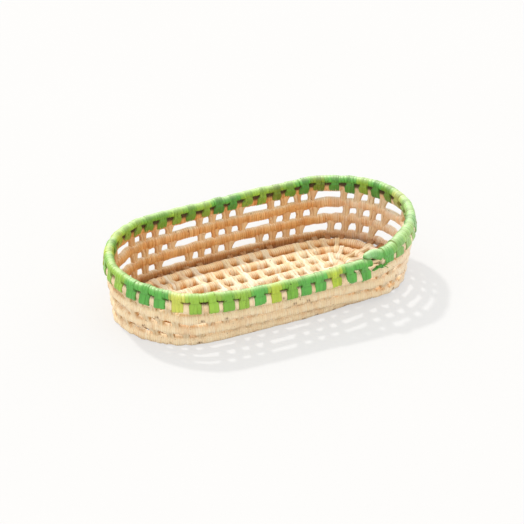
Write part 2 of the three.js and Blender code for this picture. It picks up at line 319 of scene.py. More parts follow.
def mate_length(turn):
    """Length along the coil at the point of the row before that faces a stitch."""
    before = turn - 1
    if before < COIL_START:
        before = COIL_START + SIDE_SHARE - before
    near = np.abs(TURNS - before) < MATE_REACH
    here = table_at(length_at(turn), PATH)
    ahead = table_at(length_at(turn), TANGENTS)
    off = np.abs((PATH[near] - here) @ ahead)
    return LENGTHS[near][np.argmin(off)]


# Stitches that have a row before them to hold on to
past_start = (STITCHES - 1 > SIDE_SHARE - START_CLEAR) & (STITCHES - 1 < COIL_START)
LINKED = STITCHES[(STITCHES > 1) & ~past_start]
MATES = np.array([mate_length(turn) for turn in LINKED])
TIES = np.sort(np.concatenate([length_at(LINKED), MATES]))


class Shell:
    """Vertices, faces and attributes of one piece, gathered in millimetres."""

    def __init__(self):
        self.points, self.faces, self.strip, self.tint = [], [], [], []
        self.count = 0

    def add(self, points, faces, strip, tint):
        self.points.append(np.asarray(points, float).reshape(-1, 3))
        self.faces += [[corner + self.count for corner in face] for face in faces]
        self.strip.append(np.asarray(strip, float).reshape(-1, 3))
        self.tint.append(np.asarray(tint, float).reshape(-1, 4))
        self.count += len(self.points[-1])

    def build(self, name, material, slot, *nodes):
        mesh = bpy.data.meshes.new(name)
        points = np.concatenate(self.points) * MM
        points[:, 2] = np.maximum(points[:, 2], 0)
        mesh.from_pydata(points.tolist(), [], self.faces)
        mesh.validate()
        strip = mesh.attributes.new("strip", "FLOAT_VECTOR", "POINT")
        strip.data.foreach_set("vector", np.concatenate(self.strip).ravel())
        tint = mesh.color_attributes.new("tint", "FLOAT_COLOR", "POINT")
        tint.data.foreach_set("color", np.concatenate(self.tint).ravel())
        mesh.shade_smooth()
        mesh.materials.append(material)
        piece = bpy.data.objects.new(name, mesh)
        scene.collection.objects.link(piece)
        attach(piece, "root")
        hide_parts(*nodes)
        return piece


def srgb(red, green, blue):
    """Linear colour from 0 to 255 values."""
    values = np.array([red, green, blue]) / 255
    linear = np.where(values <= 0.04045, values / 12.92, ((values + 0.055) / 1.055) ** 2.4)
    return np.append(linear, 1.0)


# Colours of the leaf, and of its painted light
PALE = srgb(255, 245, 224)
STRAW = srgb(254, 233, 194)
TAN = srgb(240, 192, 132)
# Paler cream for the outer side of the wall: evener leaf, and partly painted light
PALE_LIT_OUTSIDE = srgb(255, 232, 190)
# Painted highlight along the top of the rim and the tabs
TOP_HIGHLIGHT = srgb(214, 234, 176)
MINT = srgb(192, 230, 178)
FIBRE = srgb(214, 170, 112)
GREENS = {
    "e": srgb(96, 184, 72),
    "g": srgb(124, 184, 54),
    "m": srgb(160, 204, 66),
    "l": srgb(194, 214, 62),
    "y": srgb(212, 216, 90),
    "o": srgb(138, 170, 46),
}
# Leaves of the tabs, strip by strip: emerald, green, mid, lime, yellow, olive
STRIP_LEAVES = "eee lee gle mgm mye eem mgl glm mgg mgm eem mog eoe eme gym mem mge"
TAB_LEAVES = STRIP_LEAVES.replace(" ", "")

# Factors on the leaf's colour: painted shade in and between the rows, over the arches, under the
# rim, in holes and grooves, darker streaks, and a paler right end, partly painted light
SHADED = np.array([0.92, 0.62, 0.34, 1.0])
FOOT_SHADE = np.array([0.72, 0.60, 0.50, 1.0])
UNLIT = np.array([1.05, 0.92, 0.76, 1.0])
# Paler right end: partly paler leaf, partly painted light
RIGHT_PALE_AND_LIT = np.array([1.04, 1.07, 1.2, 1.0])
STREAKED = np.array([0.72, 0.58, 0.42, 1.0])
ARCH_SHADE = np.array([0.80, 0.64, 0.50, 1.0])
RECESS_SHADE = np.array([0.12, 0.10, 0.05, 1.0])
# Painted shade for the holes beside the stitches, which are not modelled
PIT = np.array([0.16, 0.08, 0.04, 1.0])
GROOVE_SHADE = np.array([0.80, 0.66, 0.48, 1.0])

# Darker streaks along the wrapping, and painted shade for holes, which are not modelled, beside
# some of the stitches
STREAK_PITCH = 0.9
HOLE_RARITY = 0.82
HOLE_OFF = 1.6
marks = np.random.default_rng(17)
STREAKS = marks.uniform(0, 1, int(LENGTHS[-1] / STREAK_PITCH) + 2) ** 2
HOLES = TIES[marks.uniform(0, 1, len(TIES)) > HOLE_RARITY] + HOLE_OFF
HOLE_ANGLE = -0.75
HOLE_WAVER = 0.12
HOLE_LENGTH = 1.7
HOLE_HEIGHT = 0.16

# Where the natural leaf has painted shade and painted light, round the coil and along it
RIGHT_END = (75.0, 120.0)
RIGHT_SHADE_FADE = 0.6
ON_WALL = (FLOOR_ROWS, FLOOR_ROWS + 0.04)
PALE_LIT_SHARE = 0.7
PALE_LIT_PAST = 0.2
INSIDE_GAIN = 1.2
INSIDE_EDGE = 0.6
FRONT_INSIDE_SHADE = 0.35
LOW_GAIN = 1.35
LOW_EDGE = 0.9
FRONT_LIT = 0.8
FRONT_FLOOR = (0.45, 0.65)
BACK_FLOOR = (-0.1, -0.6)
FOOT_ROW = (FLOOR_ROWS + 1.1, FLOOR_ROWS + 0.9)
ARCHED_ENDS = (62.0, 102.0)
ARCH_HEIGHT = 0.62
ARCH_THICKNESS = 0.26
ARCH_CLEAR = 3.4
UNDER_RIM = (RIM_TURN - 0.98, RIM_TURN - 0.94)
RECESS_EDGE = 0.45
RECESS_INSIDE = 0.25
RECESS_SPREAD = 0.35


def shaded(tint, share, factor):
    """The tint, with the factor on the share that is shaded."""
    return tint * (1 - share + share * factor)


def inside_share(angle, length):
    """Painted shade on the inner side of the wall, most along the back."""
    depth = -INSIDE_GAIN * np.cos(angle) - INSIDE_EDGE * (1 - behind(length))
    share = within(depth) * (1 - RIGHT_SHADE_FADE * ramp(across_at(length), *RIGHT_END))
    return share * blend(FRONT_INSIDE_SHADE, 1, behind(length))


def low_share(angle, length):
    """Painted shade on the lower flanks of the floor rows, least at the sunlit front."""
    lit = FRONT_LIT * ramp(forward_at(length), *FRONT_FLOOR)
    return within(LOW_GAIN * (LOW_EDGE - np.sin(angle))) * (1 - lit)


def hole_share(angle, length):
    """Painted shade of small holes on the outer side, a little below its middle."""
    near = np.abs(length[..., None] - HOLES).min(-1)
    facing = angle - HOLE_ANGLE + HOLE_WAVER * np.sin(3 * length)
    facing = np.angle(np.exp(1j * facing))
    return bell(near, HOLE_LENGTH, 4) * bell(facing, HOLE_HEIGHT)


def arch_share(angle, length):
    """Painted shade high on the outer side at the round ends, between the stitches."""
    from_tie = np.abs(length[..., None] - TIES).min(-1)
    between = 1 - bell(from_tie, ARCH_CLEAR, 4)
    band = bell(np.sin(angle) - ARCH_HEIGHT, ARCH_THICKNESS)
    at_end = ramp(np.abs(across_at(length)), *ARCHED_ENDS)
    return band * between * at_end * within(2 * np.cos(angle))


def recess_share(angle, turn):
    """Painted deep shade along the top of the top wall row, under the rim."""
    edge = RECESS_EDGE - RECESS_INSIDE * within(-np.cos(angle))
    return ramp(turn, *UNDER_RIM) * ease((np.sin(angle) - edge) / RECESS_SPREAD)


def natural_tone(tint, angle, length):
    """Painted shade between the rows of the floor, inside the wall and under the rim, and a paler
    outer side, partly painted light.
    """
    turn = turn_at(length)
    on_wall = ramp(turn, *ON_WALL)
    outside = within(np.cos(angle) + PALE_LIT_PAST) * on_wall
    inside = inside_share(angle, length) * on_wall
    painted_shade = within(low_share(angle, length) * (1 - on_wall) + inside)
    # Warmer painted shade on the floor towards the back, in the back wall's shadow
    far_floor = ramp(forward_at(length), *BACK_FLOOR) * (1 - on_wall)
    streak = np.interp(length, np.arange(len(STREAKS)) * STREAK_PITCH, STREAKS)
    # Darker painted shade on the foot of the wall inside
    foot = inside * ramp(turn, *FOOT_ROW)
    # Outer side of the wall paler, partly painted light
    tint = blend(tint, PALE_LIT_OUTSIDE, PALE_LIT_SHARE * outside)
    for share, factor in (
        (painted_shade, SHADED),
        (far_floor, UNLIT),
        (painted_shade * streak, STREAKED),
        (foot, FOOT_SHADE),
        (ramp(across_at(length), *RIGHT_END), RIGHT_PALE_AND_LIT),
        (hole_share(angle, length) * on_wall, PIT),
        (arch_share(angle, length) * (on_wall > 0), ARCH_SHADE),
        (recess_share(angle, turn), RECESS_SHADE),
    ):
        tint = shaded(tint, share, factor)
    return tint


# Where the green leaf has a painted highlight, has faded to mint, or has painted shade
MINT_SHARE = 0.42
MINT_ACROSS = (70.0, 115.0)
MINT_BACK = (25.0, -20.0)
TIP_MINT = 0.6
TOP_HIGHLIGHT_SHARE = 0.7
UNDER_EDGE = 0.5
UNDER_BACK = 0.2
UNDER_SPREAD = 0.4
UNDER_END = (COIL_END - 0.02, COIL_END - 0.03)


def minted(length):
    """How far the leaf has faded to mint, at the front right and at the rim's tip."""
    backward = np.interp(length, LENGTHS, PATH[:, 1])
    faded = MINT_SHARE * ramp(across_at(length), *MINT_ACROSS) * ramp(backward, *MINT_BACK)
    return np.maximum(faded, TIP_MINT * rim_taper(turn_at(length)))


def green_tone(tint, angle, length):
    """Painted highlight along the top of the rim, and painted shade under it."""
    highlight = TOP_HIGHLIGHT_SHARE * within(np.sin(angle)) ** 4
    tint = blend(blend(tint, TOP_HIGHLIGHT, highlight), MINT, minted(length))
    under = ease((-np.sin(angle) - UNDER_EDGE + UNDER_BACK * behind(length)) / UNDER_SPREAD)
    return shaded(tint, under * ramp(turn_at(length), *UNDER_END), RECESS_SHADE)


# Rows of the wall are flatter through the wall, their lower edges leaning out
FLATTENED = 0.34
FLATTEN_OVER = (FLOOR_ROWS - 0.05, FLOOR_ROWS + 0.1)
TILT = radians(18)
BACK_TILT = radians(8)
TILT_OVER = (FLOOR_ROWS + 0.05, FLOOR_ROWS + 0.25)
TOP_ROW_START = (RIM_TURN - 1.03, RIM_TURN - 0.97)
TOP_ROW_END = (RIM_TURN + 0.03, RIM_TURN - 0.03)


def thinned(length):
    return 1 - FLATTENED * ramp(turn_at(length), *FLATTEN_OVER)


def tilted(length):
    turn = turn_at(length)
    tilt = blend(TILT, BACK_TILT, ease(0.5 - forward_at(length)))
    return tilt * ramp(turn, *TILT_OVER) * ramp(turn, *TOP_ROW_END)


def round_row(length, angle, reach):
    """Points round the coil, whose rows on the wall are flattened and tilted."""
    thin = np.where(length < length_at(RIM_TURN), thinned(length), 1.0)
    across, along = thin * reach * np.cos(angle), reach * np.sin(angle)
    tilt = tilted(length)
    out = across * np.cos(tilt) - along * np.sin(tilt)
    up = across * np.sin(tilt) + along * np.cos(tilt)
    points = table_at(length, OUTWARDS) * out[:, None] + table_at(length, UPWARDS) * up[:, None]
    return table_at(length, PATH) + points


def wrap_edges(start, end, width, uneven, rng):
    """Edges of the wraps between two lengths, of uneven widths."""
    count = max(3, round((end - start) / width))
    widths = 1 + uneven * rng.uniform(-1, 1, count)
    edges = np.concatenate([[0], np.cumsum(widths)]) / widths.sum()
    return start + (end - start) * edges


LIFT_VARIES = 0.25
LIFT_SWAY = 0.07
GRAIN_SWAY = 0.2


def wound_strip(shell, edges, around, profile, radius, tints, rng, toned):
    """A leaf strip wound round the coil, wrap beside wrap, as one closed surface.

    profile holds (place across the strip, height) pairs. radius takes lengths and
    angles. tints is one colour for each wrap, and toned alters it round the coil.
    """
    count = len(edges) - 1
    columns = len(profile)
    steps = (count - 1) * around
    across = np.array([place for place, _ in profile])
    heights = np.array([height for _, height in profile])
    k = np.arange(steps + 1)
    wraps = k[:, None] / around + across[None, :]
    length = np.interp(wraps, np.arange(count + 1), edges)
    angle = (FULL * (k % around) / around - pi / 2)[:, None] + 0 * length
    waver = rng.normal(0, 1, count + 2)
    wave = np.interp(k / around, np.arange(count + 2), waver)
    lift = heights[None, :] * (1 + LIFT_VARIES * wave[:, None]) + LIFT_SWAY * wave[:, None]
    reach = radius(length, angle) + lift
    points = round_row(length.ravel(), angle.ravel(), reach.ravel())
    width = float(np.mean(np.diff(edges)))
    girth = FULL * COIL_RADIUS
    grain = 0.5 + GRAIN_SWAY * wave
    strip = (k / around * girth)[:, None], across * width, grain[:, None]
    strip = np.stack(np.broadcast_arrays(*strip), -1)
    low = np.minimum(np.floor(k / around).astype(int), len(tints) - 1)
    high = np.minimum(low + 1, len(tints) - 1)
    share = ease(k / around - low)[:, None]
    colour = blend(tints[low], tints[high], share)
    grooves = np.where((across == 0)[None, :, None], GROOVE_SHADE, 1.0)
    colour = toned(colour[:, None, :] * grooves, angle[:, :, None], length[:, :, None])
    grid = np.arange((steps + 1) * columns).reshape(-1, columns).tolist()
    faces = []
    for step in range(steps):
        here, ahead = grid[step], grid[step + 1]
        faces += zip(here, ahead, ahead[1:], here[1:])
        if step + around < steps:
            beside = grid[step + around][0]
            faces.append([here[-1], ahead[-1], beside + columns, beside])
    first = [row[0] for row in grid[: around + 1]] + grid[0][:0:-1]
    last = [row[-1] for row in grid[steps - around :]] + grid[-1][-2::-1]
    centres = []
    for loop, place, turned in ((first, edges[0], True), (last, edges[-1], False)):
        hub = len(points) + len(centres)
        centres.append(table_at(place, PATH))
        for corner, other in zip(loop, loop[1:] + loop[:1]):
            faces.append([hub, other, corner] if turned else [hub, corner, other])
    points = np.concatenate([points, centres])
    strip = np.concatenate([strip.reshape(-1, 3), np.zeros((2, 3))])
    colour = np.concatenate([colour.reshape(-1, 4), tints[:1], tints[-1:]])
    shell.add(points, faces, strip, colour)


def quads(rows, row_faces, columns, column_faces):
    """Faces of a grid of points, closed on itself where it has as many faces as points."""
    faces = []
    for row in range(row_faces):
        for column in range(column_faces):
            a, b = row * columns, (row + 1) % rows * columns
            c, d = column, (column + 1) % columns
            faces.append([a + c, a + d, b + d, b + c])
    return faces


# Section of a strip: place across it, height over the row, fullness between the rows
BAR_SECTION = ((-1, -0.8, 0.3), (-0.6, 0.0, 0.85), (0, 0.15, 1), (0.6, 0.0, 0.85), (1, -0.8, 0.3))
TAB_SECTION = ((-1, -0.3, 1), (-0.8, 0.1, 1), (0, 0.2, 1), (0.8, 0.1, 1), (1, -0.3, 1))
ARC_STEPS = 9
SPAN_STEPS = 9
FLARE_POWER = 1.3
WAIST_POWER = 1.7
ROW_TRIM = 0.3
LEAST_OPENING = 1.5
GRAIN_OFFSET = 300


def lashing(shell, places, radii, thin, half, slant, waist, section, tints, ends, rng):
    """A strip looped round two rows, drawn in between them, as one closed surface.

    places are the lengths at the upper and the lower row, radii their radii, and thin what
    is left of them through the wall. half is half the strip's width, and slant how far along
    the rows it lies, each at the upper row, between the rows and at the lower row. waist is
    how far the strip lies from the rows' plane between them, and tints are its colours, each
    on the outer and the inner side. ends are factors on the colour on top and between rows.
    """
    upper, lower = (table_at(place, PATH) for place in places)
    tilts = [tan(tilted(place)) * (place < length_at(RIM_TURN)) for place in places]
    gap = np.linalg.norm(lower - upper)
    down = unit(lower - upper)
    along = table_at(places[0], TANGENTS)
    along = unit(along - down * (along @ down))
    face = np.cross(down, along)
    arc, side = ARC_STEPS, SPAN_STEPS
    first = np.linspace(pi / 2, 1.5 * pi, arc)
    second = np.linspace(-pi / 2, pi / 2, arc)
    span = np.linspace(0, 1, side + 2)[1:-1]
    top, bottom = radii
    turns = [top * np.cos(first), span * gap, gap + bottom * np.cos(second), span[::-1] * gap]
    x = np.concatenate(turns)
    share = within(x / gap)
    flare = np.abs(2 * share - 1) ** WAIST_POWER
    hull = blend(top * thin[0], bottom * thin[1], share)
    outer, inner = (blend(depth, hull, flare) for depth in waist)
    outer_span, inner_span = slice(arc, arc + side), slice(2 * arc + side, None)
    y = np.concatenate([top * thin[0] * np.sin(first), -outer[outer_span]])
    y = np.concatenate([y, bottom * thin[1] * np.sin(second), inner[inner_span]])
    knees = [-top, 0, top, gap - bottom, gap, gap + bottom]
    leaning = [top * tilts[0], 0, -top * tilts[0], bottom * tilts[1], 0, -bottom * tilts[1]]
    y = y + np.interp(x, knees, leaning)
    between = np.zeros(len(x))
    for part in (outer_span, inner_span):
        between[part] = 1 - flare[part]
    opening = max(gap - 2 * COIL_RADIUS - ROW_TRIM, LEAST_OPENING) / gap
    flared = within(np.abs(2 * share - 1) / opening) ** FLARE_POWER
    where = np.where(share < 0.5, 0, 2)
    place_along = blend(slant[1], np.take(slant, where), flared)
    widths = blend(half[1], np.take(half, where), flared)
    count, columns = len(x), len(section)
    out = np.stack([np.where(np.arange(count) < arc, x, 0), y], -1)
    out[arc + side : 2 * arc + side, 0] = x[arc + side : 2 * arc + side] - gap
    out /= np.maximum(np.linalg.norm(out, axis=1), 1e-6)[:, None]
    points = np.zeros((count, columns, 3))
    for column, (place, height, fullness) in enumerate(section):
        rounded = 1 - between * (1 - fullness)
        raised = height * (1 - between)
        px = x + out[:, 0] * raised
        py = y * rounded + out[:, 1] * raised
        offset = place * widths + place_along
        points[:, column] = upper + px[:, None] * down + py[:, None] * face
        points[:, column] += offset[:, None] * along
    travel = travelled(np.stack([x, y], -1))
    strip = np.zeros((count, columns, 3))
    strip[:, :, 0] = travel[:, None] + rng.uniform(0, GRAIN_OFFSET)
    strip[:, :, 1] = np.array([place for place, _, _ in section]) * half[1]
    strip[:, :, 2] = rng.uniform(0, 1)
    faces = quads(count, count, columns, columns - 1)
    order = np.roll(range(count), -(arc // 2)).tolist()
    pairs = list(zip(order, order[::-1]))[: count // 2]
    last = columns - 1
    for (a, b), (c, d) in zip(pairs, pairs[1:]):
        faces.append([corner * columns for corner in (a, c, d, b)])
        faces.append([corner * columns + last for corner in (b, d, c, a)])
    on_top = (within(-out[:, 0]) ** 4 * (np.arange(count) < arc))[:, None]
    colour = blend(*tints, ease(0.5 + y / COIL_RADIUS)[:, None])
    colour = shaded(shaded(colour, between[:, None], ends[1]), on_top, ends[0])
    at_edge = np.array([[abs(place) == 1] for place, _, _ in section])
    edge = np.where(at_edge, GROOVE_SHADE, 1.0)
    shell.add(points, faces, strip, colour[:, None, :] * edge[None])


# Section of a narrow wrap: place across it, height over the row
CROSSING_SECTION = ((-1, -0.5), (-0.4, 0.3), (0.4, 0.3), (1, -0.5))
CROSSING_STEPS = 16


def crossing(shell, length, tilt, width, radius, tint, rng):
    """A narrow wrap that crosses the others aslant, as a closed ring round the coil."""
    angle = np.arange(CROSSING_STEPS) / CROSSING_STEPS * FULL
    start = rng.uniform(0, FULL)
    points, strip, colour = [], [], []
    for place, height in CROSSING_SECTION:
        here = length + tilt * np.sin(angle + start) + place * width / 2
        here = np.clip(here, 0, LENGTHS[-1])
        colour.append(natural_tone(tint[None], angle[:, None], here[:, None]))
        points.append(round_row(here, angle, radius + height))
        row = np.stack([angle * radius, 0 * angle + place * width / 2, 0 * angle], -1)
        strip.append(row + [rng.uniform(0, GRAIN_OFFSET), 0, 0])
    columns = len(CROSSING_SECTION)
    faces = quads(CROSSING_STEPS, CROSSING_STEPS, columns, columns)
    faces = [[a, b, c, d] for a, d, c, b in faces]
    shell.add(np.stack(points, 1), faces, np.stack(strip, 1), np.stack(colour, 1))


class Graph:
    """The node tree of a material or of the world."""

    def __init__(self, owner):
        owner.use_nodes = True
        self.tree = owner.node_tree

    def node(self, kind, inputs=(), **settings):
        """A new node with its settings, its inputs linked or given a value."""
        node = self.tree.nodes.new(kind)
        for name, value in settings.items():
            setattr(node, name, value)
        self.join(node, dict(inputs))
        return node

    def join(self, node, inputs):
        for key, value in inputs.items():
            if isinstance(value, bpy.types.NodeSocket):
                self.tree.links.new(value, node.inputs[key])
            else:
                node.inputs[key].default_value = value

    def noise(self, vector, scale, detail, rough=0.55):
        inputs = {"Vector": vector, "Scale": scale, "Detail": detail, "Roughness": rough}
        return self.node("ShaderNodeTexNoise", inputs).outputs["Fac"]

    def scaled(self, vector, scale):
        return self.node("ShaderNodeMapping", {"Vector": vector, "Scale": scale}).outputs["Vector"]

    def remap(self, value, *limits):
        """A value moved from one range to another."""
        inputs = dict(zip(("From Min", "From Max", "To Min", "To Max"), limits))
        return self.node("ShaderNodeMapRange", {"Value": value, **inputs}).outputs["Result"]

    def maths(self, operation, first, second):
        inputs = {0: first, 1: second}
        return self.node("ShaderNodeMath", inputs, operation=operation).outputs[0]

    def mixed(self, factor, first, second, mode="MIX"):
        """Two colours mixed: inputs 6 and 7 and output 2 are the node's colours."""
        inputs = {0: factor, 6: first, 7: second}
        node = self.node("ShaderNodeMix", inputs, data_type="RGBA", blend_type=mode)
        return node.outputs[2]

    def mixed_shader(self, factor, first, second):
        inputs = {"Fac": factor, 1: first.outputs[0], 2: second.outputs[0]}
        return self.node("ShaderNodeMixShader", inputs).outputs[0]

    def seen_directly(self):
        """1 for camera, glossy and transmission rays."""
        rays = self.node("ShaderNodeLightPath").outputs
        found = self.maths("MAXIMUM", rays["Is Camera Ray"], rays["Is Glossy Ray"])
        return self.maths("MAXIMUM", found, rays["Is Transmission Ray"])


# Grain of the leaf: scales along and across the strip, and of its patches and specks
VEIN_SCALE = (0.05, 2.2, 9.0)
FINE_SCALE = (0.12, 6.0, 5.0)
PATCH_SCALE = 90.0
SPECK_SCALE = 420.0
SPECK_COLOUR = srgb(126, 84, 52)
# Ranges of the noise, and of the share it gives
DARK_VEINS = (0.30, 0.46, 0.6, 0.0)
LIGHT_VEINS = (0.5, 0.72, 0.0, 0.6)
PATCHES = (0.5, 0.75, 0.0, 0.35)
SPECKS = (0.70, 0.75, 0.0, 0.7)
SMOOTH_VEINS = (0.3, 0.7)
SMOOTHER = 0.08
ROUGHER = 0.1
GRAIN_DEPTH = 0.0003


def leaf_material(name, roughness, streak, pale, bump, gloss):
    """Dry leaf: the piece's own tint, streaked along the strip, with specks and fine grain."""
    material = bpy.data.materials.new(name)
    graph = Graph(material)
    shade = graph.node("ShaderNodeVertexColor", layer_name="tint").outputs["Color"]
    strip = graph.node("ShaderNodeAttribute", attribute_name="strip").outputs["Vector"]
    place = graph.node("ShaderNodeTexCoord").outputs["Object"]
    veins = graph.noise(graph.scaled(strip, VEIN_SCALE), 1.0, 3.0, 0.6)
    fine = graph.noise(graph.scaled(strip, FINE_SCALE), 1.0, 2.0, 0.6)
    patches = graph.noise(place, PATCH_SCALE, 3.0, 0.6)
    specks = graph.noise(place, SPECK_SCALE, 2.0, 0.5)
    for noise, limits, colour, mode in (
        (veins, DARK_VEINS, streak, "MULTIPLY"),
        (fine, LIGHT_VEINS, pale, "SCREEN"),
        (patches, PATCHES, streak, "MULTIPLY"),
        (specks, SPECKS, SPECK_COLOUR, "MULTIPLY"),
    ):
        shade = graph.mixed(graph.remap(noise, *limits), shade, colour, mode)
    rough = graph.remap(veins, *SMOOTH_VEINS, roughness - SMOOTHER, roughness + ROUGHER)
    height = graph.maths("ADD", veins, fine)
    inputs = {"Height": height, "Strength": bump, "Distance": GRAIN_DEPTH}
    relief = graph.node("ShaderNodeBump", inputs).outputs["Normal"]
    inputs = {
        "Base Color": shade,
        "Roughness": rough,
        "Specular IOR Level": gloss,
        "Normal": relief,
    }
    graph.join(graph.tree.nodes["Principled BSDF"], inputs)
    return material


# Roughness, streaks, pale veins, strength of the grain and gloss of each kind of leaf
natural = leaf_material("natural_leaf", 0.5, srgb(222, 166, 100), srgb(70, 60, 44), 0.6, 0.4)
dyed = leaf_material("dyed_leaf", 0.34, srgb(176, 208, 140), srgb(60, 70, 30), 0.4, 0.6)
fibre = leaf_material("fibre", 0.75, srgb(200, 160, 110), srgb(70, 60, 40), 0.8, 0.3)

STRAW_MIX = (0.5, 0.4)
TAN_MIX = (0.06, 0.25)
BRIGHTNESS = (0.93, 1.0)


def natural_tints(count, rng):
    """Colours of natural strips, pale to straw, some of them tanned."""
    straw = within(rng.normal(*STRAW_MIX, count))[:, None]
    warm = within(rng.normal(*TAN_MIX, count))[:, None]
    tints = blend(blend(PALE, STRAW, straw), TAN, warm)
    return tints * rng.uniform(*BRIGHTNESS, (count, 1))


# How much thicker or thinner the wrapped rows are, and where
WRAP_HEIGHT = 0.3
PINCH = 0.3
END_PINCH = 0.8
PINCHED_ENDS = (55.0, 100.0)
PINCH_LENGTH = 3.6
FULL_OVER = (FLOOR_ROWS, FLOOR_ROWS + 0.2)
BACK_FULL = 0.35
BACK_FROM = (-0.2, -0.6)
FRONT_SLIM = 0.2
FRONT_SLIM_FROM = (0.6, 0.9)
LEFT_FULL = 0.5
LEFT_FROM = (-40.0, -90.0)
LEFT_BACK = (0.15, -0.15)
TOP_ROW_FULL = 0.1
TOP_ROW_RISE = 1.2
LIP = 0.9
LIP_FROM = (0.3, 0.7)
LIP_ANGLE = -1.15
LIP_SPREAD = 0.6
LIP_GROWTH = 0.9
LIP_GROWS = (6.0, 12.0)
ROUNDED = 0.9
START_ROUNDING = 6.0


def top_row(length):
    """1 on the top row of the wall, under the rim."""
    turn = turn_at(length)
    return ramp(turn, *TOP_ROW_START) * ramp(turn, *TOP_ROW_END)


def rounded(share):
    """What is left of the radius at a rounded end, from 0, before it, to 1, at its tip."""
    return np.sqrt(1 - ROUNDED * within(share) ** 2)


def pinched(length, angle):
    """Radius of the natural wrapping, drawn in where stitches hold the row."""
    near = np.interp(length, TIES, np.arange(len(TIES)))
    low = np.clip(near.astype(int), 0, len(TIES) - 2)
    off = np.minimum(np.abs(length - TIES[low]), np.abs(TIES[low + 1] - length))
    across, forward = across_at(length), forward_at(length)
    pinch = PINCH + END_PINCH * ramp(np.abs(across), *PINCHED_ENDS)
    pinch = pinch * bell(off, PINCH_LENGTH)
    full = BACK_FULL * ramp(forward, *BACK_FROM) - FRONT_SLIM * ramp(forward, *FRONT_SLIM_FROM)
    full = full + LEFT_FULL * ramp(across, *LEFT_FROM) * ramp(forward, *LEFT_BACK)
    lip = LIP * ramp(forward, *LIP_FROM) * bell(angle - LIP_ANGLE, LIP_SPREAD)
    full = full + lip * (1 + LIP_GROWTH * ramp(off, *LIP_GROWS))
    full = full * ramp(turn_at(length), *FULL_OVER)
    radius = COIL_RADIUS + WRAP_HEIGHT - pinch + TOP_ROW_FULL * top_row(length) + full
    rise = TOP_ROW_RISE * top_row(length) * behind(length) * within(np.sin(angle)) ** 2
    return radius * rounded(1 - length / START_ROUNDING) + rise


# Section of a wrap: place across it, height over the row
NATURAL_PROFILE = ((0.0, -0.32), (0.2, 0.0), (0.5, 0.1), (0.84, 0.02))
WRAP_WIDTH = 1.75
WRAP_UNEVEN = 0.35
WRAP_STEPS = 14

# Stitches: how far their strips lie from the rows' middles, and from the plane between the
# rows on the outer and on the inner side
BINDS = {"wall": 3.5, "foot": 2.0, "floor": 5.0}
WAISTS = {"wall": (2.2, 2.5), "foot": (2.3, 1.2), "floor": (2.3, 4.3)}
BIND_VARIES = 0.15
WALL_FROM = FLOOR_ROWS + 0.9
STITCH_SLANT = np.array([1.3, 0.95, 1.4])
STITCH_HALF = np.array([1.7, 1.45, 1.8])
SLANT_VARIES = (0.8, 1.2)
HALF_VARIES = (0.85, 1.15)
FAN_SHARES = np.array([0.5, 0.3, 0.0])
LONG_FAN = (3.4, 4.8)
SHORT_FAN = (1.5, 3.2)
FLOOR_WIDEN = 1.12
FLOOR_ENDS = (72.0, 92.0)
FLOOR_END_NARROW = 0.3
# Painted shade on the stitches' inner side, on the foot's bars and between the rows
INSIDE_SHADE_SHARE = 0.75
FOOT_BAR_SHADE = 0.7
WALL_SPAN_SHADE = 0.85
FLOOR_SPAN_SHADE = 0.96

# Narrow wraps that cross the others near a stitch
LEFT_END = -60.0
CROSSINGS = 1
LEFT_CROSSINGS = 3
CROSSING_SPREAD = 3.2
CROSSING_CLEAR = 4.0
CROSSING_WIDTH = (1.0, 1.6)
CROSSING_TILT = (1.0, 2.6)


def stitch(shell, turn, mate, rng):
    """Two strips that tie the coil at a turn to the row before it."""
    place = length_at(turn)
    kind = "wall" if turn > WALL_FROM else "foot" if turn > FLOOR_ROWS else "floor"
    on_wall = kind == "wall"
    across = across_at(place)
    later = LINKED[LINKED > turn + 1e-6]
    before_long = len(later) and length_at(later[0]) - place > 2 * STITCH_SPACING
    fan = rng.uniform(*(LONG_FAN if before_long else SHORT_FAN))
    thin = (thinned(place), thinned(mate)) if on_wall else (1, 1)
    widen = 1
    if kind == "floor":
        widen = FLOOR_WIDEN * (1 - FLOOR_END_NARROW * ramp(abs(across), *FLOOR_ENDS))
    # Painted shade on the inner side of the stitches: inside the wall, less at the right end,
    # darker on the foot's bars
    inner = {
        "wall": 1 - (1 - SHADED) * INSIDE_SHADE_SHARE * (1 - RIGHT_SHADE_FADE * ramp(across, *RIGHT_END)),
        "foot": FOOT_BAR_SHADE * FOOT_SHADE * SHADED,
        "floor": 1,
    }[kind]
    for side in (-1, 1):
        slant = side * STITCH_SLANT * rng.uniform(*SLANT_VARIES, 3)
        half = STITCH_HALF * rng.uniform(*HALF_VARIES, 3)
        if side > 0 and on_wall:
            slant += FAN_SHARES * fan
            half += FAN_SHARES * fan
        leaf = natural_tints(1, rng)[0]
        # Outer side paler, partly painted light, and painted shade between the rows
        lashing(
            shell,
            (place, mate),
            radii=[BINDS[kind] + rng.uniform(0, BIND_VARIES) for _ in range(2)],
            thin=thin,
            half=widen * half,
            slant=widen * slant,
            waist=WAISTS[kind],
            section=BAR_SECTION,
            tints=(blend(leaf, PALE_LIT_OUTSIDE, PALE_LIT_SHARE * on_wall), leaf * inner),
            ends=(1, WALL_SPAN_SHADE if on_wall else FLOOR_SPAN_SHADE),
            rng=rng,
        )


